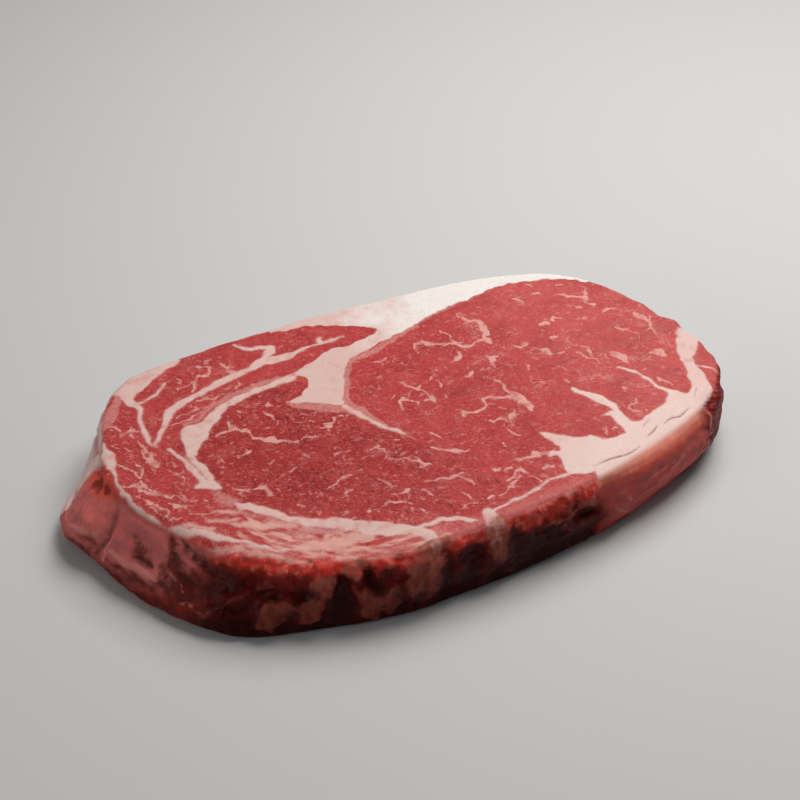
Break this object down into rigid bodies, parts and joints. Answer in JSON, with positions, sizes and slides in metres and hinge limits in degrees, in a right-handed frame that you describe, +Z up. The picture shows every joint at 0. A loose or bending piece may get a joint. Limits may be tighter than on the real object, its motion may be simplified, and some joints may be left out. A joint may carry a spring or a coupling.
{
  "type": "raw ribeye steak",
  "caption": "Raw boneless ribeye steak lying flat: a marbled eye, its rib cap and seams of fat, a white back-fat edge and a draped flap at one end.",
  "frame": {"origin": "middle of the bounding box, on the lower cut face that the steak rests on", "axes": "+X along the steak from the draped flap end to the tail of the eye, +Y across it from the trimmed lip to the back fat, +Z up through its thickness"},
  "size_m": [0.193, 0.1118, 0.0226],
  "materials": {
    "raw_beef": "moist satin, with thin wet highlights"
  },
  "bodies": {
    "root": {"steak": "raw_beef"}
  },
  "joints": []
}
